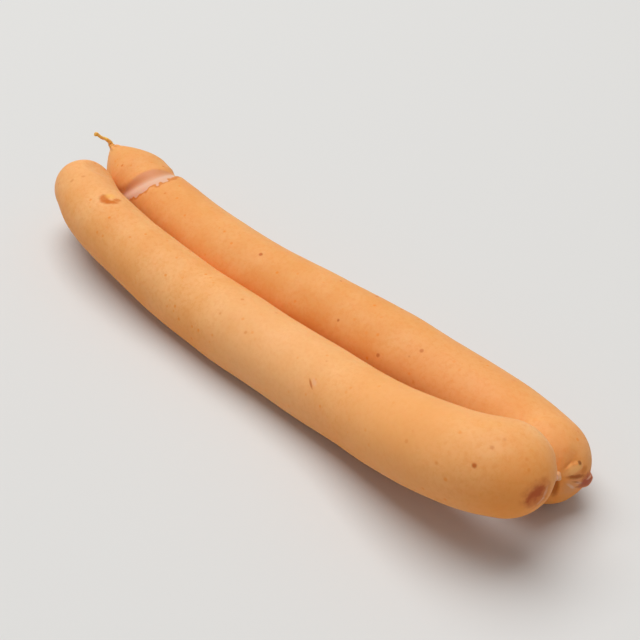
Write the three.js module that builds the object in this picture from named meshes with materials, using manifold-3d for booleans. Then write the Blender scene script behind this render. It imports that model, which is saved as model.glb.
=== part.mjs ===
// A string of two smoked sausage links in one natural casing. One twist of the casing joins their
// front ends, and the string is folded there so that the links lie side by side. The far end of one
// link is a plain dome with a stub of casing; the other tapers to a thin dry tail. Millimetres, +Z up,
// +X from the free ends to the joined ends, origin under the middle of the whole on the surface it lies on.

import * as THREE from 'three';
import { mergeVertices } from 'three/addons/utils/BufferGeometryUtils.js';
import Module from 'manifold-3d';

// Casing and filling
const calibre = 22.5;
const linkRadius = calibre / 2;
const sag = 0.35;
const restHeight = linkRadius - sag;
const frontSwell = 0.25;
const backThinness = 1.3;
const backThinReach = 50;
const waistDepth = 0.5;
const waistFromBack = 160;
const waistReach = 16;

// Slow waves in the thickness, because the casing is never filled quite evenly
const unevenness = 0.14;
const longWave = 12.4;
const shortWave = 5.1;
const shortWaveShare = 0.6;
const roundLinkPhase = 0.4;
const tailedLinkPhase = 2.1;

// Ends of the links
const domeLength = linkRadius;
const tipLength = 3;
const taperLength = 22;
const taperFullness = 1.6;

// Folds that run into the twists of the casing, with the turn of the first fold at each end in radians
const puckerDepth = 0.5;
const puckerReach = 9;
const puckerStart = 0.5;
const puckerFolds = 8;
const foldShare = 0.4;
const roundLinkBackTurn = 0;
const roundLinkFrontTurn = 2;
const tailedLinkFrontTurn = 1;

// Mark left by the stick that the string hung over in the smokehouse
const stickMarkFromTip = 38.5;
const stickMarkBow = 5;
const stickMarkReach = 4.2;
const stickMarkDepth = 0.9;
const stickMarkHalfAngle = THREE.MathUtils.degToRad(88);
const stickMarkFade = 4;

// Bare twisted casing: the joint, the tail and the stub
const twistLobes = 3;
const lobeDepth = 0.16;
const rootDepth = 1.6;
const jointRadius = 1;
const jointFlare = 1.6;
const jointFlarePower = 3;
const jointBulge = 0.8;
const jointTurns = 1.25;
const tailRadius = 0.5;
const tailFlare = 0.9;
const tailFlareReach = 1.8;
const tailTurns = 2.5;
const stubRadius = 1.1;
const stubLength = 2.6;
const stubFlare = 0.35;
const stubTurns = 0.5;

// Fineness of the facets
const linkSectors = 36;
const twistSectors = 12;
const domeStations = 9;
const bodyStep = 4.4;
const tipStep = 1;
const taperStep = 2.6;
const markStep = 1.15;
const twistStep = 0.8;
const capLength = 0.3;
const curveFineness = 800;
const weldDistance = 1e-4;

// Where the middle of each link lies: distance along the string, distance across, lift off the surface
const roundLinkMiddle = [
  [-87.8, -8.4, 5.7],
  [-75, -13, 5.6],
  [-61.1, -14.8, 4.9],
  [-41.2, -15.2, 2.8],
  [-21.7, -14.4, 0.3],
  [-2, -13.8, 0],
  [17.5, -12.9, 0],
  [41, -12.4, 1.2],
  [64.7, -14, 5.6],
  [77.7, -14.3, 9.1],
  [88.8, -13.2, 11.7],
  [95, -9.4, 12],
];
const tailedLinkMiddle = [
  [-86.3, 12.7, 0],
  [-69, 10.6, 0],
  [-52.5, 8.7, 0],
  [-23.4, 7.8, 0],
  [1.6, 9.9, 0],
  [23.1, 12.1, 0],
  [54.1, 13.2, 0],
  [81.9, 13, 0],
  [91.9, 10.7, 0.2],
];

// The ways that the ends point, the tip of the tailed link, and the tail's steps from that tip
const roundLinkBackAim = new THREE.Vector3(-0.92, 0.32, -0.22).normalize();
const roundLinkFrontAim = new THREE.Vector3(0.52, 0.78, -0.35).normalize();
const tailedLinkFrontAim = new THREE.Vector3(0.74, -0.57, 0.35).normalize();
const tailedLinkTip = new THREE.Vector3(-107.9, 14.8, 17.4);
const tailSteps = [
  [-0.4, -0.4, 1.5],
  [-1.4, -1.5, 2.5],
  [-2.4, -2.6, 3.2],
  [-3.1, -3.3, 4.2],
  [-3.8, -4, 3.6],
];

const middlePoint = ([x, y, lift]) => new THREE.Vector3(x, y, restHeight + lift);
const beyond = (point, aim, distance) => point.clone().addScaledVector(aim, distance);

function smoothCurve(points) {
  const curve = new THREE.CatmullRomCurve3(points, false, 'centripetal');
  curve.arcLengthDivisions = curveFineness;
  return curve;
}

// Direction across a curve and direction up from it, both square to it
function frameAt(curve, share) {
  const along = curve.getTangentAt(share);
  const side = new THREE.Vector3().crossVectors(along, new THREE.Vector3(0, 0, 1)).normalize();
  const up = new THREE.Vector3().crossVectors(side, along);
  return { point: curve.getPointAt(share), side, up };
}

// A closed round body whose axis follows a curve. Stations are distances from its start, radiusAt gives the
// radius there, and relief gives how far the surface stands off it at a distance and an angle from the top.
function bodyAlong(curve, stations, sectors, radiusAt, relief) {
  const profile = stations.map((distance) => new THREE.Vector2(radiusAt(distance), distance));
  profile[0].x = 0;
  profile[profile.length - 1].x = 0;
  const geometry = new THREE.LatheGeometry(profile, sectors);
  const position = geometry.attributes.position;
  const length = stations[stations.length - 1];
  const vertex = new THREE.Vector3();
  for (let i = 0; i < position.count; i += 1) {
    vertex.fromBufferAttribute(position, i);
    const radius = Math.hypot(vertex.x, vertex.z);
    const angle = Math.atan2(vertex.x, vertex.z);
    const { point, side, up } = frameAt(curve, Math.min(vertex.y / length, 1));
    const standOff = radius > weldDistance ? relief(vertex.y, angle) : 0;
    point.addScaledVector(side, Math.sin(angle) * (radius + standOff));
    point.addScaledVector(up, Math.cos(angle) * (radius + standOff));
    position.setXYZ(i, point.x, point.y, Math.max(point.z, 0));
  }
  return geometry;
}

// Distances for one end, close together where the surface curves most
function endStations(length, count) {
  const stations = [];
  for (let i = 0; i < count; i += 1) {
    stations.push(length * (1 - Math.cos((Math.PI / 2) * (i / count))));
  }
  return stations;
}

// Even distances after one and up to another
function evenStations(from, to, step) {
  const count = Math.max(1, Math.round((to - from) / step));
  return Array.from({ length: count }, (_, i) => from + ((to - from) * (i + 1)) / count);
}

const twistStations = (length) => [
  0,
  capLength / 2,
  ...evenStations(capLength / 2, length - capLength, twistStep),
  length,
];

const domeShare = (distance) => Math.sqrt(1 - Math.max(0, 1 - distance / domeLength) ** 2);
const taperShare = (distance) => 1 - Math.max(0, 1 - distance / taperLength) ** taperFullness;

function uneven(distance, phase) {
  const slow = Math.sin(distance / longWave + phase);
  const quick = Math.sin(distance / shortWave + 2 * phase);
  return unevenness * (slow + shortWaveShare * quick);
}

// Folds beside a twist, fading with the distance from it and running a little askew
function pucker(distance, angle, turn) {
  const fade = Math.max(0, 1 - distance / puckerReach) ** 2 * Math.min(1, distance / puckerStart);
  const fold = Math.cos(puckerFolds * angle + turn + Math.sin(2 * angle));
  return -puckerDepth * fade * (1 - foldShare + foldShare * fold);
}

// Saddle pressed across the upper side of the tailed link, its sides bowed towards the tip
function stickMark(distance, angle) {
  const across = Math.abs(distance - stickMarkFromTip + stickMarkBow * angle ** 2) / stickMarkReach;
  const around = Math.abs(angle) / stickMarkHalfAngle;
  if (across >= 1 || around >= 1) return 0;
  return -stickMarkDepth * Math.cos((Math.PI / 2) * across) ** 2 * (1 - around ** stickMarkFade);
}

// A round section whose lobes turn with the distance, as a twisted skin has
const lobes = (turns, length) => (distance, angle) =>
  lobeDepth * Math.cos(twistLobes * (angle - (2 * Math.PI * turns * distance) / length));

function makeRoundLink() {
  const middle = roundLinkMiddle.map(middlePoint);
  middle.unshift(beyond(middle[0], roundLinkBackAim, domeLength));
  middle.push(beyond(middle[middle.length - 1], roundLinkFrontAim, domeLength));
  const curve = smoothCurve(middle);
  const length = curve.getLength();
  const stations = [
    ...endStations(domeLength, domeStations),
    domeLength,
    ...evenStations(domeLength, length - domeLength, bodyStep),
    ...endStations(domeLength, domeStations).map((distance) => length - distance).reverse(),
  ];
  const radiusAt = (distance) => {
    const swell = frontSwell * ((2 * distance) / length - 1);
    const thinness = backThinness * Math.exp(-((distance / backThinReach) ** 2));
    const waist = waistDepth * Math.exp(-(((distance - waistFromBack) / waistReach) ** 2));
    const full = linkRadius + swell - thinness - waist + uneven(distance, roundLinkPhase);
    return full * domeShare(distance) * domeShare(length - distance);
  };
  const relief = (distance, angle) =>
    pucker(distance, angle, roundLinkBackTurn) + pucker(length - distance, angle, roundLinkFrontTurn);
  return bodyAlong(curve, stations, linkSectors, radiusAt, relief);
}

function makeTailedLink() {
  const middle = tailedLinkMiddle.map(middlePoint);
  middle.unshift(tailedLinkTip.clone());
  middle.push(beyond(middle[middle.length - 1], tailedLinkFrontAim, domeLength));
  const curve = smoothCurve(middle);
  const length = curve.getLength();
  const markStart = stickMarkFromTip - stickMarkReach - stickMarkBow * stickMarkHalfAngle ** 2;
  const markEnd = stickMarkFromTip + stickMarkReach;
  const stations = [
    0,
    ...evenStations(0, tipLength, tipStep),
    ...evenStations(tipLength, markStart, taperStep),
    ...evenStations(markStart, markEnd, markStep),
    ...evenStations(markEnd, length - domeLength, bodyStep),
    ...endStations(domeLength, domeStations).map((distance) => length - distance).reverse(),
  ];
  const radiusAt = (distance) => {
    const full = linkRadius + uneven(distance, tailedLinkPhase);
    return full * taperShare(distance) * domeShare(length - distance);
  };
  const relief = (distance, angle) =>
    stickMark(distance, angle) + pucker(length - distance, angle, tailedLinkFrontTurn);
  return bodyAlong(curve, stations, linkSectors, radiusAt, relief);
}

// The twist between the links, wider where it runs into each of them
function makeJoint() {
  const start = middlePoint(roundLinkMiddle[roundLinkMiddle.length - 1]);
  const finish = middlePoint(tailedLinkMiddle[tailedLinkMiddle.length - 1]);
  const leaves = beyond(start, roundLinkFrontAim, domeLength);
  const enters = beyond(finish, tailedLinkFrontAim, domeLength);
  const bulge = leaves.clone().lerp(enters, 0.5);
  bulge.x += jointBulge;
  const curve = smoothCurve([
    beyond(leaves, roundLinkFrontAim, -rootDepth),
    leaves,
    bulge,
    enters,
    beyond(enters, tailedLinkFrontAim, -rootDepth),
  ]);
  const length = curve.getLength();
  const flare = (distance) => Math.abs((2 * distance) / length - 1) ** jointFlarePower;
  const radiusAt = (distance) => jointRadius + jointFlare * flare(distance);
  const stations = twistStations(length);
  return bodyAlong(curve, stations, twistSectors, radiusAt, lobes(jointTurns, length));
}

// The dry tail of casing at the tip of the tailed link
function makeTail() {
  const points = tailSteps.map((step) => tailedLinkTip.clone().add(new THREE.Vector3(...step)));
  const inward = middlePoint(tailedLinkMiddle[0]).sub(tailedLinkTip).normalize();
  const curve = smoothCurve([beyond(tailedLinkTip, inward, rootDepth), tailedLinkTip, ...points]);
  const length = curve.getLength();
  const flare = (distance) => tailFlare * Math.exp(-((distance / tailFlareReach) ** 2));
  const radiusAt = (distance) => tailRadius * (1 + flare(distance));
  const stations = twistStations(length);
  return bodyAlong(curve, stations, twistSectors, radiusAt, lobes(tailTurns, length));
}

// The stub of casing at the far end of the round link
function makeStub() {
  const centre = middlePoint(roundLinkMiddle[0]);
  const start = beyond(centre, roundLinkBackAim, domeLength - rootDepth);
  const finish = beyond(centre, roundLinkBackAim, domeLength + stubLength);
  const curve = smoothCurve([start, start.clone().lerp(finish, 0.5), finish]);
  const length = curve.getLength();
  const radiusAt = (distance) => stubRadius * (1 + stubFlare * (1 - distance / length));
  const stations = twistStations(length);
  return bodyAlong(curve, stations, twistSectors, radiusAt, lobes(stubTurns, length));
}

const manifoldLibrary = await Module();
manifoldLibrary.setup();

// Welds the seam and poles of a turned body and makes it a solid
function solidOf(geometry) {
  geometry.deleteAttribute('normal');
  geometry.deleteAttribute('uv');
  const welded = mergeVertices(geometry, weldDistance);
  const index = welded.index.array;
  const triangles = [];
  for (let i = 0; i < index.length; i += 3) {
    const [a, b, c] = [index[i], index[i + 1], index[i + 2]];
    if (a !== b && b !== c && c !== a) triangles.push(a, b, c);
  }
  return new manifoldLibrary.Manifold(
    new manifoldLibrary.Mesh({
      numProp: 3,
      vertProperties: new Float32Array(welded.attributes.position.array),
      triVerts: new Uint32Array(triangles),
    }),
  );
}

// Everything is one casing, so the links, the joint, the tail and the stub become one body
function makeString() {
  const bodies = [makeRoundLink(), makeTailedLink(), makeJoint(), makeTail(), makeStub()];
  const joined = bodies.map(solidOf).reduce((whole, body) => whole.add(body));
  const { vertProperties, triVerts } = joined.getMesh();
  const geometry = new THREE.BufferGeometry();
  geometry.setAttribute('position', new THREE.BufferAttribute(new Float32Array(vertProperties), 3));
  geometry.setIndex(new THREE.BufferAttribute(new Uint32Array(triVerts), 1));
  geometry.computeVertexNormals();
  geometry.computeBoundingBox();
  const middle = geometry.boundingBox.getCenter(new THREE.Vector3());
  geometry.translate(-middle.x, -middle.y, -geometry.boundingBox.min.z);
  return geometry;
}

const smokedSkin = new THREE.MeshStandardMaterial({ color: 0xe2a064, roughness: 0.5, metalness: 0 });

const sausageString = new THREE.Mesh(makeString(), smokedSkin);
sausageString.name = 'sausage_string';

const model = new THREE.Group();
model.add(sausageString);

export default model;
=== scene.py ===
# A string of two smoked sausage links in one natural casing, laid side by side on a pale floor.
# Each part of the casing is a piece of its own here: the two filled links, the twist between them,
# the dry tail and the stub. Routes and sizes are in millimetres and are turned into metres when built.

import math

import bpy
import numpy as np
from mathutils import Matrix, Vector


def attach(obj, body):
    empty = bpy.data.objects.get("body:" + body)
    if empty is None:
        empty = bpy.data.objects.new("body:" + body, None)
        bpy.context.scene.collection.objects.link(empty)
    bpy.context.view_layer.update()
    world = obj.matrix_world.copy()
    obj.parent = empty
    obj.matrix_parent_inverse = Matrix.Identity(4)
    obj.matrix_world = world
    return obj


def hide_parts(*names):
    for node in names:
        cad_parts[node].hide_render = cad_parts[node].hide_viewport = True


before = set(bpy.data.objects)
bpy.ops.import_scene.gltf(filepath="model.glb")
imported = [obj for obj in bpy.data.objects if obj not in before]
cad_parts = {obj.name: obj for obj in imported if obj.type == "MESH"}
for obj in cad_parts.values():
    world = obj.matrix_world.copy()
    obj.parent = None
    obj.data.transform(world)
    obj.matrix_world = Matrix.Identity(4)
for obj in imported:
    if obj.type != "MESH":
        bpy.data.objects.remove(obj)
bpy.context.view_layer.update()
scene = bpy.context.scene

# Camera: it stands to the near right of the string, an arm's length away, and looks down at about 37
# degrees, so that the links run from the upper left to the lower right of the picture and fill it.

mm = 0.001
camera_place = Vector((199.61, -156.38, 196))
camera_pitch = math.radians(36.9)
camera_turn = math.radians(48.3)
camera_lens = 60
sensor_width = 36
nearest_shown = 10

camera_data = bpy.data.cameras.new("camera")
camera_data.lens = camera_lens
camera_data.sensor_width = sensor_width
camera_data.clip_start = nearest_shown * mm
camera = bpy.data.objects.new("camera", camera_data)
camera.location = camera_place * mm
camera.rotation_euler = (math.pi / 2 - camera_pitch, 0, camera_turn)
scene.collection.objects.link(camera)
scene.camera = camera

# Floor: one wide sheet of matt white paper that runs out of the picture on every side.
# It lies a hair under the string, which rests on it.

floor_half = 3.0
floor_drop = 0.05 * mm
floor_grey = (0.69, 0.685, 0.67, 1)
floor_roughness = 0.9

floor_mesh = bpy.data.meshes.new("floor")
corners = [(-1, -1), (1, -1), (1, 1), (-1, 1)]
floor_points = [(x * floor_half, y * floor_half, -floor_drop) for x, y in corners]
floor_mesh.from_pydata(floor_points, [], [(0, 1, 2, 3)])
floor_material = bpy.data.materials.new("white_paper")
floor_material.use_nodes = True
floor_shader = floor_material.node_tree.nodes["Principled BSDF"]
floor_shader.inputs["Base Color"].default_value = floor_grey
floor_shader.inputs["Roughness"].default_value = floor_roughness
floor_mesh.materials.append(floor_material)
floor = bpy.data.objects.new("floor", floor_mesh)
scene.collection.objects.link(floor)

# Light: one large soft box high over the string, on the side of its back ends, and an even pale room
# around it. It leaves a soft sheen along the upper sides and soft shadows on the floor at the front.

softbox_place = Vector((-0.75, 0.125, 2.75))
softbox_size = 2.5
softbox_power = 79
room_light = 0.31
room_white = (1, 0.99, 0.98, 1)

softbox_data = bpy.data.lights.new("softbox", "AREA")
softbox_data.shape = "SQUARE"
softbox_data.size = softbox_size
softbox_data.energy = softbox_power
softbox = bpy.data.objects.new("softbox", softbox_data)
softbox.location = softbox_place
softbox.rotation_euler = (-softbox_place).to_track_quat("-Z", "Y").to_euler()
scene.collection.objects.link(softbox)
room = bpy.data.worlds.new("room")
room.use_nodes = True
room_shader = room.node_tree.nodes["Background"]
room_shader.inputs["Color"].default_value = room_white
room_shader.inputs["Strength"].default_value = room_light
scene.world = room
scene.view_settings.view_transform = "Standard"

# Round link: finely ground sausage in sheep casing, smoked to a soft orange tan. It lies nearest the
# camera, its front end resting on its neighbour, and both of its ends are plain domes. The casing
# puckers a little where it runs into the twist at the front and the stub at the back.

# Form of a filled link
calibre = 22.5
link_radius = calibre / 2
sag = 0.35
rest_height = link_radius - sag
front_swell = 0.25
back_thinness = 1.3
back_thin_reach = 50
waist_depth = 0.5
waist_from_back = 160
waist_reach = 16
unevenness = 0.14
long_wave = 12.4
short_wave = 5.1
short_wave_share = 0.6
round_link_phase = 0.4

# Folds and creases beside a twist, slow waves and lumps of the casing, and the shape of a pressed mark
fold_depth = 0.5
fold_reach = 9
fold_count = 8.0
fold_fade = 2.0
fold_start = 0.5
fold_share = 0.4
crease_reach = 3.4
crease_spacing = 0.8
crease_fade = 1.5
crease_sharpness = 3.0
crease_share = 0.9
round_link_front_turn = 2.0
wobble = 0.3
swell_size = 12
lump_size = 3.5
lump_share = 0.16
mark_half_angle = math.radians(88)
mark_end_fade = 4.0

# Fineness of the skin, and where it stops
link_sectors = 128
dome_rings = 44
ring_gap = 0.8
bend_ring_gap = 0.4
bend_reach = 30
easing_step = 0.25
easing_reach = 8
weld_distance = 1e-6
floor_limit = (-1, -1, 0)

# Colours of the smoked skin, and of the shade and highlight painted on it
skin_deep = (0.86, 0.39, 0.125, 1)
skin_pale = (0.92, 0.485, 0.195, 1)
skin_rosy = (0.88, 0.40, 0.15, 1)
# painted highlight: a paler tan for the top of the round link, where the light falls most
skin_painted_highlight = (0.94, 0.54, 0.25, 1)
skin_grain = (0.80, 0.29, 0.06, 1)
# painted shade: a deeper, redder orange laid on the lower sides of the links
skin_painted_shade = (0.90, 0.31, 0.05, 1)
skin_smoky = (0.76, 0.28, 0.05, 1)
round_link_smoke = 0.06
fine_detail = 3.0
cloud_size = 14
cloud_roughness = 0.55
cloud_range = (0.3, 0.7)
# where the painted shade begins and ends on the way down the ring, and how strong it is
underside_shade_range = (-0.85, 0.5)
underside_shade_share = 0.75
rosy_size = 31
rosy_range = (0.48, 0.7)
rosy_share = 0.5
grain_size = 1.3
grain_roughness = 0.75
grain_range = (0.4, 0.7)
grain_share = 0.42

# Faint freckles all over, each sort with its spacing, reach, strength and colour
freckle_core = 0.3
freckle_chance = (0.45, 0.95)
freckle_sorts = [
    (2.9, 0.24, 0.7, (0.84, 0.24, 0.01, 1)),
    (5.3, 0.14, 0.7, (0.70, 0.16, 0.0, 1)),
    (9.0, 0.07, 0.7, (0.46, 0.07, 0.0, 1)),
]

# Shine and pits of the moist skin, and the light that goes into the meat
skin_roughness = 0.5
roughness_spread = 0.12
shine_size = 6
shine_range = (0.3, 0.7)
skin_specular = 0.2
meat_glow = 0.3
meat_glow_reach = (1.0, 0.36, 0.16)
meat_glow_depth = 2.5
pit_size = 0.8
dimple_size = 2.6
pit_share = 0.35
skin_bump = 0.35
skin_bump_depth = 0.12

# Marks, and painted shade and highlight, in their places, each with its centre, reach, raggedness, direction
# and stretch, tint and strength
spot_edge_size = 1.4
spot_core = 0.35
freckle_brown = (0.50, 0.08, 0.0, 1)
scorch_orange = (0.62, 0.14, 0.0, 1)
end_brown = (0.62, 0.155, 0.03, 1)
end_dark = (0.48, 0.075, 0.01, 1)
pale_pink = (0.86, 0.48, 0.30, 1)
honey = (0.92, 0.47, 0.11, 1)
round_link_spots = [
    # painted highlight: a paler patch over the top of the link's middle
    ((24, -12, 22), 34, 6, None, 1, skin_painted_highlight, 0.3),
    ((72, -13, 30), 30, 6, None, 1, skin_deep, 0.6),
    # painted shade: a deeper orange over the lower front end
    ((108, -12, 22), 17, 4, None, 1, skin_painted_shade, 0.5),
    ((108.9, -11.1, 24.2), 4.6, 3.2, (0.2, 1, 0.6), 1.2, end_brown, 0.75),
    ((108.8, -11.6, 24.6), 2.2, 2.4, (0.2, 1, 0.6), 1.7, end_dark, 0.8),
    ((109.3, -8.4, 24.4), 0.8, 1.2, (-0.1, -0.35, -1), 4.0, pale_pink, 0.5),
    ((109.4, -9.6, 22.2), 0.6, 1.0, (-0.1, 0.9, 0.5), 3.4, pale_pink, 0.5),
    ((109.0, -10.4, 21.6), 0.45, 0.8, (-0.1, 0.9, 0.5), 4.5, pale_pink, 0.4),
    ((-61.2, -14.3, 26.3), 2.2, 1.2, (0.8, -0.3, 0), 1.5, scorch_orange, 0.85),
    ((-58.5, -13.9, 26.2), 1.8, 0.9, (0.7, 0.7, 0), 2.0, scorch_orange, 0.9),
    ((-58.4, -11.4, 25.8), 1.3, 0.7, (0.7, 0.7, 0), 1.6, scorch_orange, 0.7),
    ((-61.4, -11.9, 26.2), 2.2, 0.7, None, 1, honey, 0.6),
    ((-77.2, -11.9, 26.6), 0.9, 0.5, None, 1, scorch_orange, 0.35),
    ((-79.1, -15.2, 25.5), 1.0, 0.5, None, 1, scorch_orange, 0.35),
    ((42.9, -19.9, 19.6), 0.45, 0.3, (0.75, -0.35, -0.35), 5.0, freckle_brown, 0.6),
    ((43.6, -19.4, 20.4), 0.9, 0.3, (0.75, -0.35, -0.35), 1.8, pale_pink, 0.45),
    ((96.9, -19.7, 30.3), 0.9, 0.3, None, 1, freckle_brown, 0.8),
    ((98.3, -11.6, 34.3), 0.8, 0.2, None, 1, freckle_brown, 0.25),
    ((97.6, -15.0, 33.4), 0.8, 0.2, None, 1, freckle_brown, 0.3),
]

# Dents of the skin, each with its centre, reach, height, direction and stretch
round_link_relief = [
    ((-81.1, -2.8, 24.6), 7.0, -1.1, None, 1),
    ((108.8, -11.6, 24.6), 3.2, -0.3, None, 1),
    ((109.3, -8.4, 24.4), 0.9, -0.2, (-0.1, -0.35, -1), 3.6),
    ((109.4, -9.6, 22.2), 0.8, -0.2, (-0.1, 0.9, 0.5), 3.0),
    ((42.9, -19.9, 19.6), 0.6, -0.1, (0.75, -0.35, -0.35), 4.0),
    ((-59.9, -13.6, 26.2), 3.2, -0.2, None, 1),
]

# Where the middle of the link lies: along the string, across it, and its lift off the floor's rest height
route_shift = Vector((2.607, 0.623, 0))
round_link_middle = [
    (-87.8, -8.4, 5.7), (-75, -13, 5.6), (-61.1, -14.8, 4.9), (-41.2, -15.2, 2.8), (-21.7, -14.4, 0.3),
    (-2, -13.8, 0), (17.5, -12.9, 0), (41, -12.4, 1.2), (64.7, -14, 5.6), (77.7, -14.3, 9.1),
    (88.8, -13.2, 11.7), (95, -9.4, 12),
]
round_link_back_aim = Vector((-0.92, 0.32, -0.22)).normalized()
round_link_front_aim = Vector((0.52, 0.78, -0.35)).normalized()


def middle_point(step):
    return Vector((step[0], step[1], rest_height + step[2]))


def with_distances(route):
    steps = np.linalg.norm(np.diff(route, axis=0), axis=1)
    return route, np.concatenate([[0], np.cumsum(steps)])


def smooth_route(points, pieces=60):
    """Dense points of a centripetal spline through the given ones, with their distances from the start."""
    points = [2 * points[0] - points[1], *points, 2 * points[-1] - points[-2]]
    dense = [points[1]]
    for before, start, end, after in zip(points, points[1:], points[2:], points[3:]):
        gaps = [(b - a).length ** 0.5 for a, b in ((before, start), (start, end), (end, after))]
        first = (start - before) / gaps[0] - (end - before) / (gaps[0] + gaps[1]) + (end - start) / gaps[1]
        last = (end - start) / gaps[1] - (after - start) / (gaps[1] + gaps[2]) + (after - end) / gaps[2]
        first, last = first * gaps[1], last * gaps[1]
        for i in range(1, pieces + 1):
            t = i / pieces
            dense.append(
                start + first * t + (3 * (end - start) - 2 * first - last) * t**2
                + (2 * (start - end) + first + last) * t**3
            )
    return with_distances(np.array(dense))


def eased_route(points):
    """The smooth route with its tight bends eased, so that the casing doesn't run into itself inside one."""
    route, distances = smooth_route(points)
    even = np.arange(0, distances[-1], easing_step)
    even = np.append(even, distances[-1])
    route = np.array([np.interp(even, distances, route[:, axis]) for axis in range(3)]).T
    reach = round(easing_reach / easing_step)
    out = np.arange(1, reach + 1)[:, None]
    before = route[0] + (route[0] - route[1]) * out[::-1]
    after = route[-1] + (route[-2] - route[-3]) * out
    long_route = np.concatenate([before, route, after])
    share = np.hanning(2 * reach + 3)[1:-1]
    share /= share.sum()
    eased = np.array([np.convolve(long_route[:, axis], share, "valid") for axis in range(3)]).T
    return with_distances(eased)


def end_stations(reach, count):
    """Distances from a rounded end, close together where the surface turns most."""
    return reach * (1 - np.cos(np.pi / 2 * np.arange(count) / count))


def even_stations(start, finish, gap):
    return np.linspace(start, finish, round((finish - start) / gap) + 1)


def casing_curve(name, route, distances, stations, radii):
    """A poly curve along the route in metres, with the casing's radius at each of its points."""
    data = bpy.data.curves.new(name, "CURVE")
    data.dimensions = "3D"
    spline = data.splines.new("POLY")
    spline.points.add(len(stations) - 1)
    for point, station, radius in zip(spline.points, stations, radii):
        place = Vector([np.interp(station, distances, route[:, axis]) for axis in range(3)])
        point.co = (*((place + route_shift) * mm), 1)
        point.radius = radius * mm
    curve = bpy.data.objects.new(name, data)
    scene.collection.objects.link(curve)
    return curve


def feed(tree, socket, term):
    if isinstance(term, bpy.types.NodeSocket):
        tree.links.new(term, socket)
    else:
        socket.default_value = term


def add(tree, kind, settings=None, **terms):
    """A node of that kind, with its settings and its input sockets filled in by name."""
    node = tree.nodes.new(kind)
    for key, value in (settings or {}).items():
        setattr(node, key, value)
    for key, term in terms.items():
        feed(tree, node.inputs[key.replace("_", " ")], term)
    return node


def calc(tree, operation, *terms):
    node = tree.nodes.new("ShaderNodeMath")
    node.operation = operation
    for socket, term in zip(node.inputs, terms):
        feed(tree, socket, term)
    return node.outputs["Value"]


def fade_out(tree, distance, reach):
    """1 at no distance, falling straight to 0 at the reach and beyond."""
    share = calc(tree, "DIVIDE", distance, reach)
    return calc(tree, "MAXIMUM", calc(tree, "SUBTRACT", 1.0, share), 0.0)


def new_tree(name, sizes):
    """A Geometry Nodes tree that takes a curve and the named sizes."""
    tree = bpy.data.node_groups.new(name, "GeometryNodeTree")
    tree.interface.new_socket("Geometry", in_out="OUTPUT", socket_type="NodeSocketGeometry")
    tree.interface.new_socket("Geometry", in_out="INPUT", socket_type="NodeSocketGeometry")
    for size, kind in sizes.items():
        tree.interface.new_socket(size, in_out="INPUT", socket_type="NodeSocket" + kind)
    return tree, tree.nodes.new("NodeGroupInput"), tree.nodes.new("NodeGroupOutput")


def swept_casing(tree, curve, sectors):
    """Sweeps a ring along the curve, level from side to side, and leaves three attributes on the skin:
    along, its distance from the start, section, its place round the ring, and middle, the ring's centre."""
    level = add(tree, "GeometryNodeSetCurveNormal", {"mode": "Z_UP"}, Curve=curve)
    distance = add(tree, "GeometryNodeSplineParameter").outputs["Length"]
    along = add(tree, "GeometryNodeStoreNamedAttribute", {"data_type": "FLOAT"},
                Geometry=level.outputs[0], Name="along", Value=distance)
    place = add(tree, "GeometryNodeInputPosition").outputs[0]
    middle = add(tree, "GeometryNodeStoreNamedAttribute", {"data_type": "FLOAT_VECTOR"},
                 Geometry=along.outputs[0], Name="middle", Value=place)
    ring = add(tree, "GeometryNodeCurvePrimitiveCircle", Resolution=sectors, Radius=1.0)
    section = add(tree, "GeometryNodeStoreNamedAttribute", {"data_type": "FLOAT_VECTOR"},
                  Geometry=ring.outputs[0], Name="section", Value=place)
    radius = add(tree, "GeometryNodeInputRadius").outputs[0]
    skin = tree.nodes.new("GeometryNodeCurveToMesh")
    tree.links.new(middle.outputs[0], skin.inputs["Curve"])
    tree.links.new(section.outputs[0], skin.inputs["Profile Curve"])
    tree.links.new(radius, skin.inputs["Scale"])
    welded = add(tree, "GeometryNodeMergeByDistance", Geometry=skin.outputs[0], Distance=weld_distance)
    return welded.outputs[0]


def named(tree, name, kind="FLOAT"):
    node = add(tree, "GeometryNodeInputNamedAttribute", {"data_type": kind}, Name=name)
    return node.outputs["Attribute"]


def vector(tree, operation, *terms):
    node = tree.nodes.new("ShaderNodeVectorMath")
    node.operation = operation
    for socket, term in zip(node.inputs, terms):
        feed(tree, socket, term)
    return node.outputs["Value" if operation in ("LENGTH", "DISTANCE", "DOT_PRODUCT") else "Vector"]


def stood_off(tree, skin, relief, material):
    """Moves the skin off its middle by the relief, flattens it on the floor, and gives it its material."""
    place = add(tree, "GeometryNodeInputPosition").outputs[0]
    middle = named(tree, "middle", "FLOAT_VECTOR")
    outward = vector(tree, "NORMALIZE", vector(tree, "SUBTRACT", place, middle))
    scaled = tree.nodes.new("ShaderNodeVectorMath")
    scaled.operation = "SCALE"
    feed(tree, scaled.inputs[0], outward)
    feed(tree, scaled.inputs["Scale"], relief)
    moved = vector(tree, "MAXIMUM", vector(tree, "ADD", place, scaled.outputs[0]), floor_limit)
    shaped = add(tree, "GeometryNodeSetPosition", Geometry=skin, Position=moved)
    smooth = add(tree, "GeometryNodeSetShadeSmooth", Geometry=shaped.outputs[0])
    real = add(tree, "GeometryNodeRealizeInstances", Geometry=smooth.outputs[0])
    return add(tree, "GeometryNodeSetMaterial", Geometry=real.outputs[0], Material=material).outputs[0]


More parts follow.
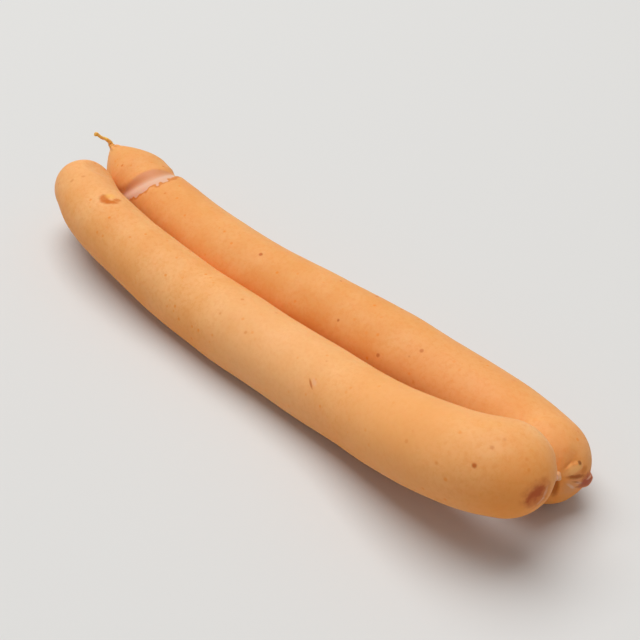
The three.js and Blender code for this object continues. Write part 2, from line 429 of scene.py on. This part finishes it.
def made_piece(name, curve, tree, sizes):
    """Runs the tree on the curve and keeps the result as a plain mesh."""
    modifier = curve.modifiers.new(name, "NODES")
    modifier.node_group = tree
    for size, value in sizes.items():
        modifier[tree.interface.items_tree[size].identifier] = value
    evaluated = curve.evaluated_get(bpy.context.evaluated_depsgraph_get())
    mesh = bpy.data.meshes.new_from_object(evaluated)
    mesh.name = name
    bpy.data.objects.remove(curve)
    piece = bpy.data.objects.new(name, mesh)
    scene.collection.objects.link(piece)
    return piece


def mixed(tree, colour, tint, share):
    """The colour turned towards the tint by the share. Colours have sockets of their own on the node, after
    those for numbers and vectors."""
    node = tree.nodes.new("ShaderNodeMix")
    node.data_type = "RGBA"
    first_colour, second_colour, mixed_colour = 6, 7, 2
    feed(tree, node.inputs[0], share)
    feed(tree, node.inputs[first_colour], colour)
    feed(tree, node.inputs[second_colour], tint)
    return node.outputs[mixed_colour]


def ramp(tree, value, low, high):
    """0 up to low, 1 from high, and smooth between them; the other way round if low is above high."""
    node = tree.nodes.new("ShaderNodeMapRange")
    node.interpolation_type = "SMOOTHSTEP"
    feed(tree, node.inputs["Value"], value)
    falls = low > high
    node.inputs["From Min"].default_value = high if falls else low
    node.inputs["From Max"].default_value = low if falls else high
    node.inputs["To Min"].default_value = 1.0 if falls else 0.0
    node.inputs["To Max"].default_value = 0.0 if falls else 1.0
    return node.outputs["Result"]


def noise(tree, place, size, detail=2.0, roughness=0.5):
    """Cloudy noise from 0 to 1 whose features are about that many millimetres across."""
    scale = 1 / (size * mm)
    node = add(tree, "ShaderNodeTexNoise", Vector=place, Scale=scale, Detail=detail, Roughness=roughness)
    return node.outputs[0]


def near(tree, place, centre, reach, ragged=0.0, stretch=None, times=1.0):
    """1 at a centre given in millimetres and 0 from the reach outwards, with a ragged edge where asked.
    Along the stretch direction the spot is that many times as long."""
    offset = vector(tree, "SUBTRACT", place, tuple(Vector(centre) * mm))
    if stretch:
        long_way = Vector(stretch).normalized()
        share = calc(tree, "MULTIPLY", vector(tree, "DOT_PRODUCT", offset, tuple(long_way)), 1 - 1 / times)
        shortened = tree.nodes.new("ShaderNodeVectorMath")
        shortened.operation = "SCALE"
        shortened.inputs[0].default_value = tuple(long_way)
        feed(tree, shortened.inputs["Scale"], share)
        offset = vector(tree, "SUBTRACT", offset, shortened.outputs[0])
    distance = vector(tree, "LENGTH", offset)
    if ragged:
        rough = calc(tree, "SUBTRACT", noise(tree, place, spot_edge_size, fine_detail), 0.5)
        distance = calc(tree, "MULTIPLY_ADD", rough, ragged * mm, distance)
    return ramp(tree, distance, reach * mm, spot_core * reach * mm)


def filled_casing_tree(name, relief_spots):
    """A link of filled casing: folds at its ends, the stick's mark where there is one, slow swells, and the
    dents, ridges and creases in relief_spots, each with a centre, reach, height, stretch and times."""
    tree, given, result = new_tree(name, {
        "Sectors": "Int", "Length": "Float", "Fold Depth": "Float", "Fold Reach": "Float", "Folds": "Float",
        "Crease Reach": "Float", "Back Turn": "Float", "Front Turn": "Float", "Back Folds": "Float",
        "Mark Distance": "Float", "Mark Reach": "Float", "Mark Depth": "Float", "Mark Bow": "Float",
        "Wobble": "Float", "Material": "Material",
    })
    size = given.outputs
    skin = swept_casing(tree, size["Geometry"], size["Sectors"])
    along = named(tree, "along")
    ring = add(tree, "ShaderNodeSeparateXYZ", Vector=named(tree, "section", "FLOAT_VECTOR"))
    sideways, downward = ring.outputs[0], ring.outputs[1]
    angle = calc(tree, "ARCTAN2", sideways, calc(tree, "MULTIPLY", downward, -1.0))
    askew = calc(tree, "SINE", calc(tree, "MULTIPLY", angle, 2.0))

    def pucker(distance, turn):
        fade = calc(tree, "POWER", fade_out(tree, distance, size["Fold Reach"]), fold_fade)
        close = calc(tree, "MINIMUM", calc(tree, "DIVIDE", distance, fold_start * mm), 1.0)
        turned = calc(tree, "ADD", calc(tree, "MULTIPLY_ADD", angle, size["Folds"], turn), askew)
        fold = calc(tree, "MULTIPLY_ADD", calc(tree, "COSINE", turned), fold_share, 1 - fold_share)
        wide = calc(tree, "MULTIPLY", calc(tree, "MULTIPLY", fade, close), fold)
        half = calc(tree, "MULTIPLY_ADD", turned, crease_spacing, askew)
        crease = calc(tree, "SUBTRACT", 1.0, calc(tree, "ABSOLUTE", calc(tree, "SINE", half)))
        short = calc(tree, "POWER", fade_out(tree, distance, size["Crease Reach"]), crease_fade)
        narrow = calc(tree, "POWER", crease, crease_sharpness)
        sharp = calc(tree, "MULTIPLY", narrow, calc(tree, "MULTIPLY", short, close))
        return calc(tree, "MULTIPLY_ADD", sharp, crease_share, wide)

    back = calc(tree, "MULTIPLY", pucker(along, size["Back Turn"]), size["Back Folds"])
    front = pucker(calc(tree, "SUBTRACT", size["Length"], along), size["Front Turn"])
    folds = calc(tree, "MULTIPLY", calc(tree, "ADD", back, front), size["Fold Depth"])

    bow = calc(tree, "MULTIPLY", calc(tree, "MULTIPLY", angle, angle), size["Mark Bow"])
    past_mark = calc(tree, "SUBTRACT", along, size["Mark Distance"])
    from_mark = calc(tree, "ABSOLUTE", calc(tree, "ADD", past_mark, bow))
    mark_share = calc(tree, "MINIMUM", calc(tree, "DIVIDE", from_mark, size["Mark Reach"]), 1.0)
    across = calc(tree, "POWER", calc(tree, "COSINE", calc(tree, "MULTIPLY", mark_share, math.pi / 2)), 2.0)
    around = calc(tree, "DIVIDE", calc(tree, "ABSOLUTE", angle), mark_half_angle)
    ending = calc(tree, "POWER", around, mark_end_fade)
    over_top = calc(tree, "MAXIMUM", calc(tree, "SUBTRACT", 1.0, ending), 0.0)
    mark = calc(tree, "MULTIPLY", calc(tree, "MULTIPLY", across, over_top), size["Mark Depth"])

    place = add(tree, "GeometryNodeInputPosition").outputs[0]
    swells = calc(tree, "SUBTRACT", noise(tree, place, swell_size), 0.5)
    lumps = calc(tree, "SUBTRACT", noise(tree, place, lump_size), 0.5)
    waves = calc(tree, "MULTIPLY", calc(tree, "MULTIPLY_ADD", lumps, lump_share, swells), size["Wobble"])
    relief = calc(tree, "SUBTRACT", calc(tree, "SUBTRACT", waves, folds), mark)
    for centre, reach, height, stretch, times in relief_spots:
        spot = near(tree, place, centre, reach, 0.0, stretch, times)
        relief = calc(tree, "MULTIPLY_ADD", spot, height * mm, relief)
    tree.links.new(stood_off(tree, skin, relief, size["Material"]), result.inputs[0])
    return tree


def dome_share(distance):
    return np.sqrt(1 - np.maximum(0, 1 - distance / link_radius) ** 2)


def uneven(distance, phase):
    slow = np.sin(distance / long_wave + phase)
    quick = np.sin(distance / short_wave + 2 * phase)
    return unevenness * (slow + short_wave_share * quick)


def smoked_colour(tree, place, smoke):
    """Tan of smoke on the casing: cloudy, with painted shade that turns it a deeper orange underneath, and
    with a fine grain and faint freckles. Smoke is how much of a deeper orange lies over all of it."""
    section = add(tree, "ShaderNodeAttribute", {"attribute_name": "section"}).outputs["Vector"]
    downward = add(tree, "ShaderNodeSeparateXYZ", Vector=section).outputs[1]
    clouds = ramp(tree, noise(tree, place, cloud_size, fine_detail, cloud_roughness), *cloud_range)
    colour = mixed(tree, skin_deep, skin_pale, clouds)
    # painted shade: the lower side of the casing turned a deeper orange
    under = ramp(tree, downward, *underside_shade_range)
    colour = mixed(tree, colour, skin_painted_shade, calc(tree, "MULTIPLY", under, underside_shade_share))
    rosy = ramp(tree, noise(tree, place, rosy_size), *rosy_range)
    colour = mixed(tree, colour, skin_rosy, calc(tree, "MULTIPLY", rosy, rosy_share))
    colour = mixed(tree, colour, skin_smoky, smoke)
    grain = ramp(tree, noise(tree, place, grain_size, fine_detail, grain_roughness), *grain_range)
    colour = mixed(tree, colour, skin_grain, calc(tree, "MULTIPLY", grain, grain_share))
    for size, cut, share, tint in freckle_sorts:
        cells = add(tree, "ShaderNodeTexVoronoi", Vector=place, Scale=1 / (size * mm))
        chance = add(tree, "ShaderNodeSeparateColor", Color=cells.outputs["Color"]).outputs[0]
        inside = ramp(tree, cells.outputs["Distance"], cut, freckle_core * cut)
        chosen = ramp(tree, chance, *freckle_chance)
        freckles = calc(tree, "MULTIPLY", calc(tree, "MULTIPLY", inside, chosen), share)
        colour = mixed(tree, colour, tint, freckles)
    return colour


def new_skin(name):
    material = bpy.data.materials.new(name)
    material.use_nodes = True
    tree = material.node_tree
    place = add(tree, "ShaderNodeTexCoord").outputs["Object"]
    return material, tree, place


def spotted(tree, place, colour, spots):
    """The colour with the marks of the list laid over it, one after another."""
    for centre, reach, ragged, stretch, times, tint, share in spots:
        spot = near(tree, place, centre, reach, ragged, stretch, times)
        colour = mixed(tree, colour, tint, calc(tree, "MULTIPLY", spot, share))
    return colour


def finish_skin(tree, place, colour):
    """Soft shine of a moist casing over meat: a little light goes in, and the surface is finely pitted."""
    shader = tree.nodes["Principled BSDF"]
    feed(tree, shader.inputs["Base Color"], colour)
    shine = ramp(tree, noise(tree, place, shine_size, fine_detail), *shine_range)
    roughness = calc(tree, "MULTIPLY_ADD", shine, roughness_spread, skin_roughness)
    feed(tree, shader.inputs["Roughness"], roughness)
    shader.inputs["Specular IOR Level"].default_value = skin_specular
    shader.inputs["Subsurface Weight"].default_value = meat_glow
    shader.inputs["Subsurface Radius"].default_value = meat_glow_reach
    shader.inputs["Subsurface Scale"].default_value = meat_glow_depth * mm
    pits = noise(tree, place, pit_size)
    dimples = noise(tree, place, dimple_size)
    height = calc(tree, "MULTIPLY_ADD", pits, pit_share, dimples)
    bump = add(tree, "ShaderNodeBump", Strength=skin_bump, Distance=skin_bump_depth * mm, Height=height)
    tree.links.new(bump.outputs[0], shader.inputs["Normal"])


round_link_points = [middle_point(step) for step in round_link_middle]
round_link_points.insert(0, round_link_points[0] + round_link_back_aim * link_radius)
round_link_points.append(round_link_points[-1] + round_link_front_aim * link_radius)
round_link_route, round_link_distances = eased_route(round_link_points)
round_link_length = round_link_distances[-1]
round_link_end = end_stations(link_radius, dome_rings)
round_link_stations = np.concatenate([
    round_link_end,
    even_stations(link_radius, round_link_length - bend_reach, ring_gap)[:-1],
    even_stations(round_link_length - bend_reach, round_link_length - link_radius, bend_ring_gap),
    (round_link_length - round_link_end)[::-1],
])
round_link_radii = (
    link_radius + front_swell * (2 * round_link_stations / round_link_length - 1)
    - back_thinness * np.exp(-((round_link_stations / back_thin_reach) ** 2))
    - waist_depth * np.exp(-(((round_link_stations - waist_from_back) / waist_reach) ** 2))
    + uneven(round_link_stations, round_link_phase)
) * dome_share(round_link_stations) * dome_share(round_link_length - round_link_stations)
round_link_curve = casing_curve(
    "round_link", round_link_route, round_link_distances, round_link_stations, round_link_radii
)
round_link_skin, round_link_paint, round_link_place = new_skin("round_link_skin")
round_link_colour = smoked_colour(round_link_paint, round_link_place, round_link_smoke)
round_link_colour = spotted(round_link_paint, round_link_place, round_link_colour, round_link_spots)
finish_skin(round_link_paint, round_link_place, round_link_colour)
round_link_tree = filled_casing_tree("round link casing", round_link_relief)
round_link = made_piece("round_link", round_link_curve, round_link_tree, {
    "Sectors": link_sectors, "Length": round_link_length * mm,
    "Fold Depth": fold_depth * mm, "Fold Reach": fold_reach * mm, "Folds": fold_count,
    "Crease Reach": crease_reach * mm,
    "Back Turn": 0.0, "Front Turn": round_link_front_turn, "Back Folds": 1.0,
    "Mark Distance": 0.0, "Mark Reach": mm, "Mark Depth": 0.0, "Mark Bow": 0.0,
    "Wobble": wobble * mm, "Material": round_link_skin,
})
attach(round_link, "root")
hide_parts("sausage_string")

# Tailed link: the same sausage, on the far side. It hung over a stick in the smokehouse, which pressed a
# pale saddle across it, and the casing of its free end is drawn out to a point. Its other end is a dome
# that puckers into the twist.

# Form, folds and colour where they differ from the round link's
tailed_link_phase = 2.1
taper_length = 22
taper_fullness = 1.6
tip_length = 3
tip_rings = 12
tailed_link_front_turn = 1.0
tailed_link_back_folds = 0.6
tailed_link_smoke = 0.3

# Mark of the stick, in millimetres along the link and in radians from its top
stick_mark_from_tip = 37
stick_mark_bow = 5
stick_mark_reach = 4.7
stick_mark_depth = 1.1
mark_edge_size = 2.8
mark_edge_detail = 1.0
mark_edge_raggedness = 4.5
mark_sides = (1.45, 1.15)
mark_middle = 0.3
mark_narrowing = 4.4
mark_slant = 4.0
mark_back_edge = (-5.4, -3.6)
mark_front_edge = (5.9, 5.5)
mark_pale_edge = (-2.0, 1.6)
mark_rim_start = (5.5, 5.9)
mark_rim_end = (7.2, 6.2)
mark_pink_shade_share = 0.8
mark_rim_share = 0.6
mark_pale = (0.78, 0.46, 0.315, 1)
# pinkish brown of the mark's tip side: a pinker hue together with painted shade on the groove's far slope
mark_pink_shade = (0.68, 0.27, 0.13, 1)
mark_rim = (0.62, 0.15, 0.01, 1)

# Where the middle of the link lies, as for the round link
tailed_link_middle = [
    (-86.3, 12.7, 0), (-69, 10.6, 0), (-52.5, 8.7, 0), (-23.4, 7.8, 0), (1.6, 9.9, 0), (23.1, 12.1, 0),
    (54.1, 13.2, 0), (81.9, 13, 0), (91.9, 10.7, 0.2),
]
tailed_link_front_aim = Vector((0.74, -0.57, 0.35)).normalized()
tailed_link_tip = Vector((-107.9, 14.8, 17.4))

# Marks, painted shade and dents in their places, as on the round link, with the folds and the corner of the
# front end
fold_gold = (1.0, 0.50, 0.17, 1)
purple_brown = (0.43, 0.08, 0.05, 1)
# painted shade: the brown laid in creases and along folds, and where the round link shades the tailed one
crease_painted_shade = (0.46, 0.10, 0.0, 1)
facet_tan = (0.72, 0.34, 0.16, 1)
facet_pink = (0.84, 0.50, 0.34, 1)
speck_black = (0.16, 0.03, 0.0, 1)
tailed_link_spots = [
    ((-101.6, 13.0, 18.2), 0.7, 0.3, (0.9, -0.35, 0.2), 6.0, scorch_orange, 0.4),
    ((-101.0, 14.4, 18.8), 0.6, 0.3, (0.93, -0.2, 0.25), 6.0, scorch_orange, 0.4),
    # painted shade: a deeper orange over the lower part of the front end
    ((106, 8, 11), 10, 3, None, 1, skin_painted_shade, 0.55),
    ((103.2, 8.2, 18.6), 4.5, 2.0, None, 1, scorch_orange, 0.22),
    ((105.2, 9.0, 11.2), 4.4, 1.8, None, 1, facet_tan, 0.45),
    ((104.9, 8.0, 11.4), 0.6, 0.4, (0.3, 0.6, -0.75), 4.5, facet_pink, 0.7),
    ((105.4, 10.4, 11.2), 0.6, 0.4, (0.3, 0.85, -0.4), 4.5, facet_pink, 0.7),
    # painted shade in the creases between the pale streaks
    ((105.1, 9.0, 12.2), 0.4, 0.3, (0.3, 0.8, -0.5), 6.0, crease_painted_shade, 0.65),
    ((105.5, 10.2, 9.8), 0.4, 0.3, (0.3, 0.75, -0.6), 5.0, crease_painted_shade, 0.6),
    # painted shade along the upper edge of the fold
    ((104.2, 8.6, 16.6), 2.0, 0.9, (0.25, 0.96, 0.15), 2.0, crease_painted_shade, 0.3),
    ((104.4, 8.8, 15.9), 1.8, 1.4, (0.25, 0.96, 0.1), 2.1, fold_gold, 0.9),
    # painted shade along the crease under the fold
    ((104.8, 9.2, 13.6), 0.95, 0.6, (0.36, 0.9, -0.3), 4.4, crease_painted_shade, 0.95),
    ((105.6, 12.0, 14.3), 1.5, 0.8, None, 1, scorch_orange, 0.55),
    ((106.2, 12.9, 10.6), 2.5, 2.2, (0, 0.8, 0.5), 1.4, purple_brown, 0.85),
    ((106.4, 13.5, 11.6), 0.45, 0.2, (0.05, 0.9, 0.2), 3.0, facet_pink, 0.7),
    # painted shadow: the round link's end shading the tailed link beside the twist
    ((103.1, 4.3, 12.2), 1.5, 0.5, (0.05, 0, -1), 3.0, crease_painted_shade, 0.8),
    ((104.6, 10.8, 16.8), 0.8, 0.3, None, 1, speck_black, 0.8),
    ((-9.6, 6.5, 21.7), 0.9, 0.3, None, 1, freckle_brown, 0.75),
    ((43.4, 3.6, 16.7), 0.8, 0.3, None, 1, freckle_brown, 0.6),
    ((53.7, 9.4, 21.3), 0.8, 0.3, None, 1, freckle_brown, 0.5),
    ((27.8, 18.2, 20.8), 0.8, 0.3, None, 1, freckle_brown, 0.5),
]
tailed_link_relief = [
    ((-101.6, 13.6, 18.6), 0.9, 0.4, (0.9, -0.35, 0.2), 5.0),
    ((-100.8, 15.3, 18.9), 0.8, 0.35, (0.95, -0.1, 0.25), 4.5),
    ((105.4, 9.0, 10.0), 5.5, -0.8, None, 1),
    ((104.4, 8.8, 16.0), 1.9, 0.8, (0.25, 0.96, 0.1), 1.9),
    ((104.8, 9.2, 13.6), 1.0, -0.5, (0.36, 0.9, -0.3), 3.6),
    ((105.1, 9.0, 12.2), 0.6, -0.2, (0.3, 0.8, -0.5), 5.0),
    ((105.5, 10.2, 9.8), 0.6, -0.2, (0.3, 0.75, -0.6), 4.5),
    ((103.1, 4.3, 12.2), 1.6, -0.4, (0.05, 0, -1), 2.6),
    ((106.3, 13.3, 10.2), 2.8, 1.2, None, 1),
]


def marked_colour(tree, place, colour):
    """The stick's mark: skin that saw less smoke, pinkish brown on the tip's side and pale in front of it,
    with a ragged edge and a darker rim where the smoke begins again. The pinkish brown is partly a pinker
    hue and partly painted shade on the groove's slope that faces away from the light."""
    along = add(tree, "ShaderNodeAttribute", {"attribute_name": "along"}).outputs["Fac"]
    section = add(tree, "ShaderNodeAttribute", {"attribute_name": "section"}).outputs["Vector"]
    ring = add(tree, "ShaderNodeSeparateXYZ", Vector=section)
    angle = calc(tree, "ARCTAN2", ring.outputs[0], calc(tree, "MULTIPLY", ring.outputs[1], -1.0))
    bow = calc(tree, "MULTIPLY", calc(tree, "MULTIPLY", angle, angle), stick_mark_bow * mm)
    past_mark = calc(tree, "SUBTRACT", along, stick_mark_from_tip * mm)
    off = calc(tree, "MULTIPLY", calc(tree, "ADD", past_mark, bow), 1 / mm)
    rough = calc(tree, "SUBTRACT", noise(tree, place, mark_edge_size, mark_edge_detail), 0.5)
    jagged = calc(tree, "MULTIPLY", rough, mark_edge_raggedness)
    over = ramp(tree, calc(tree, "ABSOLUTE", angle), *mark_sides)
    from_middle = calc(tree, "SUBTRACT", angle, mark_middle)
    narrowing = calc(tree, "MULTIPLY", calc(tree, "MULTIPLY", from_middle, from_middle), mark_narrowing)
    back = calc(tree, "SUBTRACT", off, narrowing)
    near_side = calc(tree, "MAXIMUM", calc(tree, "MULTIPLY", angle, -1.0), 0.0)
    front = calc(tree, "ADD", calc(tree, "MULTIPLY_ADD", near_side, mark_slant, off), jagged)
    body = calc(tree, "MULTIPLY", ramp(tree, back, *mark_back_edge), ramp(tree, front, *mark_front_edge))
    pale = calc(tree, "MULTIPLY", ramp(tree, off, *mark_pale_edge), body)
    rim = calc(tree, "MULTIPLY", ramp(tree, front, *mark_rim_start), ramp(tree, front, *mark_rim_end))
    pink_shade_share = calc(tree, "MULTIPLY", calc(tree, "MULTIPLY", body, over), mark_pink_shade_share)
    rim_share = calc(tree, "MULTIPLY", calc(tree, "MULTIPLY", rim, over), mark_rim_share)
    colour = mixed(tree, colour, mark_pink_shade, pink_shade_share)
    colour = mixed(tree, colour, mark_pale, calc(tree, "MULTIPLY", pale, over))
    return mixed(tree, colour, mark_rim, rim_share)


tailed_link_points = [tailed_link_tip, *[middle_point(step) for step in tailed_link_middle]]
tailed_link_points.append(tailed_link_points[-1] + tailed_link_front_aim * link_radius)
tailed_link_route, tailed_link_distances = eased_route(tailed_link_points)
tailed_link_length = tailed_link_distances[-1]
tailed_link_stations = np.concatenate([
    np.linspace(0, tip_length, tip_rings, endpoint=False),
    even_stations(tip_length, tailed_link_length - link_radius, ring_gap),
    (tailed_link_length - end_stations(link_radius, dome_rings))[::-1],
])
taper_share = 1 - np.maximum(0, 1 - tailed_link_stations / taper_length) ** taper_fullness
tailed_link_radii = (
    link_radius + uneven(tailed_link_stations, tailed_link_phase)
) * taper_share * dome_share(tailed_link_length - tailed_link_stations)
tailed_link_curve = casing_curve(
    "tailed_link", tailed_link_route, tailed_link_distances, tailed_link_stations, tailed_link_radii
)
tailed_link_skin, tailed_link_paint, tailed_link_place = new_skin("tailed_link_skin")
tailed_link_colour = smoked_colour(tailed_link_paint, tailed_link_place, tailed_link_smoke)
tailed_link_colour = marked_colour(tailed_link_paint, tailed_link_place, tailed_link_colour)
tailed_link_colour = spotted(tailed_link_paint, tailed_link_place, tailed_link_colour, tailed_link_spots)
finish_skin(tailed_link_paint, tailed_link_place, tailed_link_colour)
tailed_link_tree = filled_casing_tree("tailed link casing", tailed_link_relief)
tailed_link = made_piece("tailed_link", tailed_link_curve, tailed_link_tree, {
    "Sectors": link_sectors, "Length": tailed_link_length * mm,
    "Fold Depth": fold_depth * mm, "Fold Reach": fold_reach * mm, "Folds": fold_count,
    "Crease Reach": crease_reach * mm,
    "Back Turn": 0.0, "Front Turn": tailed_link_front_turn, "Back Folds": tailed_link_back_folds,
    "Mark Distance": stick_mark_from_tip * mm, "Mark Reach": stick_mark_reach * mm,
    "Mark Depth": stick_mark_depth * mm, "Mark Bow": stick_mark_bow * mm,
    "Wobble": wobble * mm, "Material": tailed_link_skin,
})
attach(tailed_link, "root")
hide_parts("sausage_string")

# Link twist: bare casing between the two links, turned a little more than once on itself when the string
# was made. It leaves the round link's front dome, bends round and runs into the tailed link's.

# Form of the twist between the links
root_depth = 1.6
joint_radius = 0.75
joint_flare = 1.2
joint_flare_power = 3
joint_bulge = 0.5
joint_turns = 1.25
joint_lobe_depth = 0.16
joint_crumple = 0.2

# What all twists of casing share: lobes, crumples, rounded tips and fineness
twist_sectors = 48
twist_lobes = 3.0
twist_ring_gap = 0.14
twist_tip = 0.4
twist_tip_rings = 8
crumple_size = 1.1

# Bare casing, drier the further it is from the link, in millimetres along the twist
dry_range = (1.5, 4)
stain_size = 0.9
stain_range = (0.45, 0.75)
stain_share = 0.25
casing_roughness = 0.38
casing_glow = 0.5
casing_glow_reach = (1.0, 0.6, 0.2)
casing_glow_depth = 1.2
wrinkle_size = 0.35
casing_bump = 0.5
casing_bump_depth = 0.08
casing_gold = (0.92, 0.52, 0.09, 1)
casing_pink = (0.84, 0.42, 0.20, 1)


def twisted_casing_tree():
    """A thin twist of bare casing, whose lobes turn along it, a little crumpled."""
    tree, given, result = new_tree("twisted casing", {
        "Sectors": "Int", "Length": "Float", "Turns": "Float", "Lobes": "Float", "Lobe Depth": "Float",
        "Crumple": "Float", "Material": "Material",
    })
    size = given.outputs
    skin = swept_casing(tree, size["Geometry"], size["Sectors"])
    ring = add(tree, "ShaderNodeSeparateXYZ", Vector=named(tree, "section", "FLOAT_VECTOR"))
    angle = calc(tree, "ARCTAN2", ring.outputs[0], calc(tree, "MULTIPLY", ring.outputs[1], -1.0))
    share = calc(tree, "DIVIDE", named(tree, "along"), size["Length"])
    turned = calc(tree, "MULTIPLY", calc(tree, "MULTIPLY", share, size["Turns"]), -2 * math.pi)
    wave = calc(tree, "COSINE", calc(tree, "MULTIPLY", calc(tree, "ADD", angle, turned), size["Lobes"]))
    lobes = calc(tree, "MULTIPLY", wave, size["Lobe Depth"])
    place = add(tree, "GeometryNodeInputPosition").outputs[0]
    rough = calc(tree, "SUBTRACT", noise(tree, place, crumple_size), 0.5)
    crumple = calc(tree, "MULTIPLY", rough, size["Crumple"])
    relief = calc(tree, "ADD", lobes, crumple)
    tree.links.new(stood_off(tree, skin, relief, size["Material"]), result.inputs[0])
    return tree


def dry_casing(name, root, tip):
    """Dry casing that lets light through: the colour of the link at its root, golden where it runs free."""
    material, tree, place = new_skin(name)
    along = add(tree, "ShaderNodeAttribute", {"attribute_name": "along"}).outputs["Fac"]
    colour = mixed(tree, root, tip, ramp(tree, along, dry_range[0] * mm, dry_range[1] * mm))
    stain = ramp(tree, noise(tree, place, stain_size, fine_detail), *stain_range)
    colour = mixed(tree, colour, freckle_brown, calc(tree, "MULTIPLY", stain, stain_share))
    shader = tree.nodes["Principled BSDF"]
    feed(tree, shader.inputs["Base Color"], colour)
    shader.inputs["Roughness"].default_value = casing_roughness
    shader.inputs["Subsurface Weight"].default_value = casing_glow
    shader.inputs["Subsurface Radius"].default_value = casing_glow_reach
    shader.inputs["Subsurface Scale"].default_value = casing_glow_depth * mm
    wrinkles = noise(tree, place, wrinkle_size, fine_detail)
    depth = casing_bump_depth * mm
    bump = add(tree, "ShaderNodeBump", Strength=casing_bump, Distance=depth, Height=wrinkles)
    tree.links.new(bump.outputs[0], shader.inputs["Normal"])
    return material


def twist_stations(length):
    """Even distances along a thin twist, closer at its tips."""
    tip = end_stations(twist_tip, twist_tip_rings)
    between = np.arange(twist_tip, length - twist_tip, twist_ring_gap)
    return np.concatenate([tip, between, (length - tip)[::-1]])


def closed_ends(stations, length):
    """The share of the radius that rounds both tips off."""
    nearest = np.minimum(stations, length - stations)
    return np.sqrt(1 - np.maximum(0, 1 - nearest / twist_tip) ** 2)


def twisted_piece(name, points, radius_at, sizes):
    """A twist of casing along the points, with its radius at each distance, made a piece of the string."""
    route, distances = smooth_route(points)
    length = distances[-1]
    stations = twist_stations(length)
    radii = radius_at(stations, length) * closed_ends(stations, length)
    curve = casing_curve(name, route, distances, stations, radii)
    shared = {"Sectors": twist_sectors, "Length": length * mm, "Lobes": twist_lobes}
    piece = made_piece(name, curve, twist_tree, {**shared, **sizes})
    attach(piece, "root")
    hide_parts("sausage_string")


twist_tree = twisted_casing_tree()
joint_start = round_link_points[-1]
joint_finish = tailed_link_points[-1]
joint_points = [
    joint_start - round_link_front_aim * root_depth,
    joint_start,
    (joint_start + joint_finish) / 2 + Vector((joint_bulge, 0, 0)),
    joint_finish,
    joint_finish - tailed_link_front_aim * root_depth,
]
twisted_piece(
    "link_twist", joint_points,
    lambda stations, length: (
        joint_radius + joint_flare * np.abs(2 * stations / length - 1) ** joint_flare_power
    ),
    {"Turns": joint_turns, "Lobe Depth": joint_lobe_depth * mm, "Crumple": joint_crumple * mm,
     "Material": dry_casing("link_twist_casing", casing_pink, casing_pink)},
)

# Casing tail: the end of the casing at the tailed link's tip, twisted shut and dried to a thin golden
# thread. It curls up and to one side, and swells to a small knob before its cut end.

tail_radius = 0.56
tail_flare = 1.0
tail_flare_reach = 2.8
tail_knob = 0.3
tail_knob_from_end = 0.9
tail_knob_reach = 0.5
tail_turns = 1.5
tail_lobe_depth = 0.08
tail_crumple = 0.12
tail_root_orange = (0.90, 0.40, 0.08, 1)
tail_steps = [(-0.4, -0.4, 1.5), (-1.4, -1.5, 2.5), (-2.4, -2.6, 3.2), (-3.1, -3.3, 4.2), (-3.8, -4, 3.6)]
tail_inward = (tailed_link_points[1] - tailed_link_tip).normalized()
tail_points = [tailed_link_tip + tail_inward * root_depth, tailed_link_tip]
tail_points += [tailed_link_tip + Vector(step) for step in tail_steps]
twisted_piece(
    "casing_tail", tail_points,
    lambda stations, length: tail_radius * (
        1 + tail_flare * np.exp(-((stations / tail_flare_reach) ** 2))
        + tail_knob * np.exp(-(((length - stations - tail_knob_from_end) / tail_knob_reach) ** 2))
    ),
    {"Turns": tail_turns, "Lobe Depth": tail_lobe_depth * mm, "Crumple": tail_crumple * mm,
     "Material": dry_casing("casing_tail_casing", tail_root_orange, casing_gold)},
)

# End stub: the casing at the round link's far end, twisted and cut off short. It is drier and paler than
# the skin, and stands out from the middle of the dome.

stub_radius = 1.1
stub_length = 2.6
stub_flare = 0.35
stub_turns = 0.5
stub_lobe_depth = 0.16
stub_crumple = 0.2
stub_root_tan = (0.78, 0.36, 0.10, 1)
stub_root = round_link_points[0] - round_link_back_aim * root_depth
stub_tip = round_link_points[0] + round_link_back_aim * stub_length
twisted_piece(
    "end_stub", [stub_root, (stub_root + stub_tip) / 2, stub_tip],
    lambda stations, length: stub_radius * (1 + stub_flare * (1 - stations / length)),
    {"Turns": stub_turns, "Lobe Depth": stub_lobe_depth * mm, "Crumple": stub_crumple * mm,
     "Material": dry_casing("end_stub_casing", stub_root_tan, casing_gold)},
)
